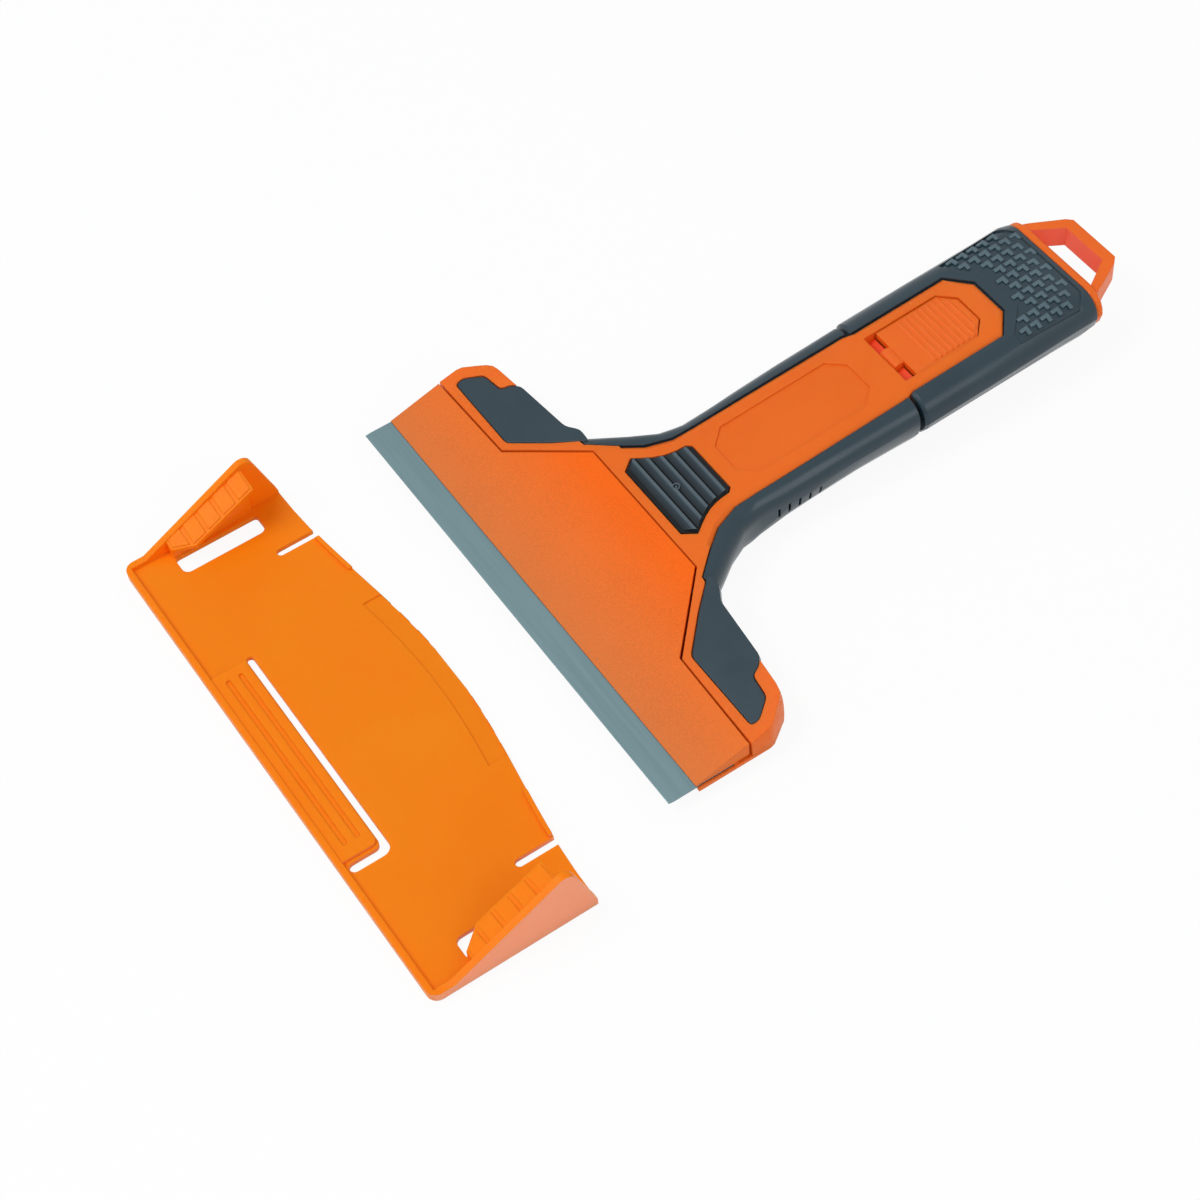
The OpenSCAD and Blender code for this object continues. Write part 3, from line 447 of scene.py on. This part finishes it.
def on_rear_grip(y, s, lift):
    """Point on the rear grip's skin: s runs round its section from the middle of its top."""
    half = between(y, 1)
    high = top_z(y) - GRIP_DROP - between(y, 2)
    side = 1 if s >= 0 else -1
    s = abs(s)
    flat = half - GRIP_R
    if s <= flat:
        return row(side * s, y, high + lift)
    turn = (s - flat) / GRIP_R
    if turn <= math.pi / 2:
        r = GRIP_R + lift
        return row(side * (flat + r * math.sin(turn)), y, high - GRIP_R + r * math.cos(turn))
    return row(side * (half + lift), y, high - GRIP_R - (s - flat - GRIP_R * math.pi / 2))


def in_field(y, x, margin):
    """Whether a point lies in the sunk field of the tread, this far from its edges."""
    x = abs(x)
    front = np.interp(x, [FIELD_NOSE_HALF, FIELD_SPINE_HALF], [FIELD_NOSE, FIELD_FRONT])
    side = np.interp(y, [FIELD_FRONT, FIELD_CORNER_Y, FIELD_REAR],
                     [FIELD_HALF_FRONT, FIELD_HALF_REAR, FIELD_CORNER_HALF])
    return y > front + margin and x < side - margin and y < FIELD_REAR - margin


def tread():
    """Woven tread of the rear grip: staggered L-shaped strokes that stand in the sunk field."""
    bm = bmesh.new()
    arm, thick, taper = 1.42, 1.25, 0.92
    pitch, stagger, middle_y = 3.62, 1.62, 168.4
    columns, places = range(-5, 5), range(-4, 8)
    root, margin = 0.05, -0.3
    proud, rise_along, fall_across = 0.07, 0.09, 0.05
    highest = cad_high[2] - 0.00005
    notch = arm - thick
    stroke = [(-arm, -arm), (arm, -arm), (arm, arm), (notch, arm), (notch, -notch), (-arm, -notch)]
    for j in columns:
        for i in places:
            y0 = middle_y + i * pitch + j * stagger
            s0 = (j + 0.5) * pitch
            foot = [on_rear_grip(y0 + a, s0 + b, -TREAD_DEEP - root) for a, b in stroke]
            if not all(in_field(p.y * 1000 + REST_Y, p.x * 1000, margin) for p in foot):
                continue
            bottom = [bm.verts.new(p) for p in foot]
            top = []
            for a, b in stroke:
                lift = proud + rise_along * a - fall_across * b
                skin = on_rear_grip(y0 + a * taper, s0 + b * taper, lift)
                skin.z = min(skin.z, highest)
                top.append(bm.verts.new(skin))
            for fan in ((0, 1, 4, 5), (1, 2, 3, 4)):
                bm.faces.new([top[k] for k in fan])
                bm.faces.new([bottom[k] for k in fan])
            wall(bm, bottom, top)
    piece("grip_tread", bm, TREAD, "body")


def pip():
    """Raised ring round the thumb pad's hole, with a small pip in its middle."""
    bm = bmesh.new()
    steps = 24
    ring_profile = [(1.16, -0.6), (1.16, 0.74), (1.04, 0.86), (0.84, 0.86), (0.74, 0.74), (0.74, -0.2)]
    pip_profile = [(0.46, -0.2), (0.46, 0.36), (0.36, 0.56), (0.16, 0.64)]
    rings = []
    for r, h in ring_profile + pip_profile:
        ring = []
        for k in range(steps):
            turn = 2 * math.pi * k / steps
            y = PIP_Y + r * math.sin(turn)
            ring.append(bm.verts.new(row(r * math.cos(turn), y, top_z(y) + h)))
        rings.append(ring)
    for low, high in zip(rings, rings[1:]):
        wall(bm, low, high)
    bm.faces.new(rings[0])
    bm.faces.new(rings[-1])
    piece("pad_pip", bm, PIP, "button")


def notches():
    """Sloped floors in the two notches beside the latch's knuckle. They sit shallower than the notches
    themselves and are coloured as painted light: a red glow in these deep pits.
    """
    bm = bmesh.new()
    front_y, front_depth = 124.36, 4.2
    rear_y, rear_depth = 128.2, 2.5
    inner_x, outer_x, base_depth = 3.5, 9.7, 5.9
    outline = [(inner_x, front_y, front_depth), (outer_x, front_y, front_depth),
               (outer_x, rear_y, rear_depth), (inner_x, rear_y, rear_depth)]
    for side in (-1, 1):
        top = [bm.verts.new(row(side * x, y, top_z(y) - depth)) for x, y, depth in outline]
        base = [bm.verts.new(row(side * x, y, top_z(y) - base_depth)) for x, y, depth in outline]
        bm.faces.new(top)
        bm.faces.new(base)
        wall(bm, top, base)
    piece("latch_notch_glow_floors", bm, NOTCH, "body")


tread()
pip()
notches()

# Camera, solved from the photograph
CAMERA_PLACE = (0.37945, -0.29871, 0.56699)
CAMERA_RIGHT = (0.553224, 0.830397, -0.06621)
CAMERA_UP = (-0.647358, 0.478578, 0.593204)
CAMERA_BACK = (0.524282, -0.285313, 0.802325)
camera = bpy.data.objects.new("camera", bpy.data.cameras.new("camera"))
scene.collection.objects.link(camera)
camera.data.sensor_width = 36
camera.data.lens = 79.265
turned = Matrix((CAMERA_RIGHT, CAMERA_UP, CAMERA_BACK)).transposed().to_4x4()
camera.matrix_world = Matrix.Translation(CAMERA_PLACE) @ turned
camera.data.clip_start = 0.01
camera.data.clip_end = 50
scene.camera = camera

# Floor and world: white to the eye, with the object's soft shadow
FLOOR_HALF, FLOOR_Z, FLOOR_WHITE_PART = 4, -0.0003, 0.92
FLOOR_GREY, SOFT_SKY, SKY_STRENGTH = grey(0.9), (0.95, 0.97, 1.0, 1.0), 0.55


def coloured(tree, kind, colour, strength=None):
    """A shader node with its colour and, where it shines, its strength."""
    node = tree.nodes.new(kind)
    node.inputs["Color"].default_value = colour
    if strength is not None:
        node.inputs["Strength"].default_value = strength
    return node


def white_to_camera(tree, plain, white, white_part, output):
    """Mixes white into a shader where the camera, a mirror or clear plastic looks at it."""
    path = tree.nodes.new("ShaderNodeLightPath")
    seen = path.outputs["Is Camera Ray"]
    for ray in ("Is Glossy Ray", "Is Transmission Ray"):
        either = tree.nodes.new("ShaderNodeMath")
        either.operation = "MAXIMUM"
        tree.links.new(seen, either.inputs[0])
        tree.links.new(path.outputs[ray], either.inputs[1])
        seen = either.outputs[0]
    share = tree.nodes.new("ShaderNodeMath")
    share.operation = "MULTIPLY"
    share.inputs[1].default_value = white_part
    tree.links.new(seen, share.inputs[0])
    blend = tree.nodes.new("ShaderNodeMixShader")
    tree.links.new(share.outputs[0], blend.inputs["Fac"])
    tree.links.new(plain.outputs[0], blend.inputs[1])
    tree.links.new(white.outputs[0], blend.inputs[2])
    surface = tree.nodes.new(output)
    tree.links.new(blend.outputs[0], surface.inputs["Surface"])


floor_mesh = bpy.data.meshes.new("floor")
floor_corners = [(x * FLOOR_HALF, y * FLOOR_HALF, FLOOR_Z) for x, y in ((-1, -1), (1, -1), (1, 1), (-1, 1))]
floor_mesh.from_pydata(floor_corners, [], [(0, 1, 2, 3)])
floor = bpy.data.objects.new("floor", floor_mesh)
scene.collection.objects.link(floor)
floor_mat = bpy.data.materials.new("floor_white")
floor_mat.use_nodes = True
tree = floor_mat.node_tree
tree.nodes.clear()
white_to_camera(tree, coloured(tree, "ShaderNodeBsdfDiffuse", FLOOR_GREY),
                coloured(tree, "ShaderNodeEmission", WHITE, 1.0), FLOOR_WHITE_PART, "ShaderNodeOutputMaterial")
floor_mesh.materials.append(floor_mat)

world = bpy.data.worlds.new("studio")
scene.world = world
world.use_nodes = True
tree = world.node_tree
tree.nodes.clear()
white_to_camera(tree, coloured(tree, "ShaderNodeBackground", SOFT_SKY, SKY_STRENGTH),
                coloured(tree, "ShaderNodeBackground", WHITE, 1.0), 1.0, "ShaderNodeOutputWorld")

# Studio lamps
LAMP_TARGET = Vector((0, -0.03, 0))


def lamp(name, place, size, watts):
    """A round lamp that shines on the object."""
    data = bpy.data.lights.new(name, "AREA")
    data.shape = "DISK"
    data.size = size
    data.energy = watts
    obj = bpy.data.objects.new(name, data)
    obj.location = place
    obj.rotation_mode = "QUATERNION"
    obj.rotation_quaternion = (LAMP_TARGET - Vector(place)).to_track_quat("-Z", "Y")
    scene.collection.objects.link(obj)


lamp("key", (-0.25, -0.75, 1.1), size=0.7, watts=7.0)
lamp("fill", (0.9, 0.1, 0.7), size=0.8, watts=2.5)
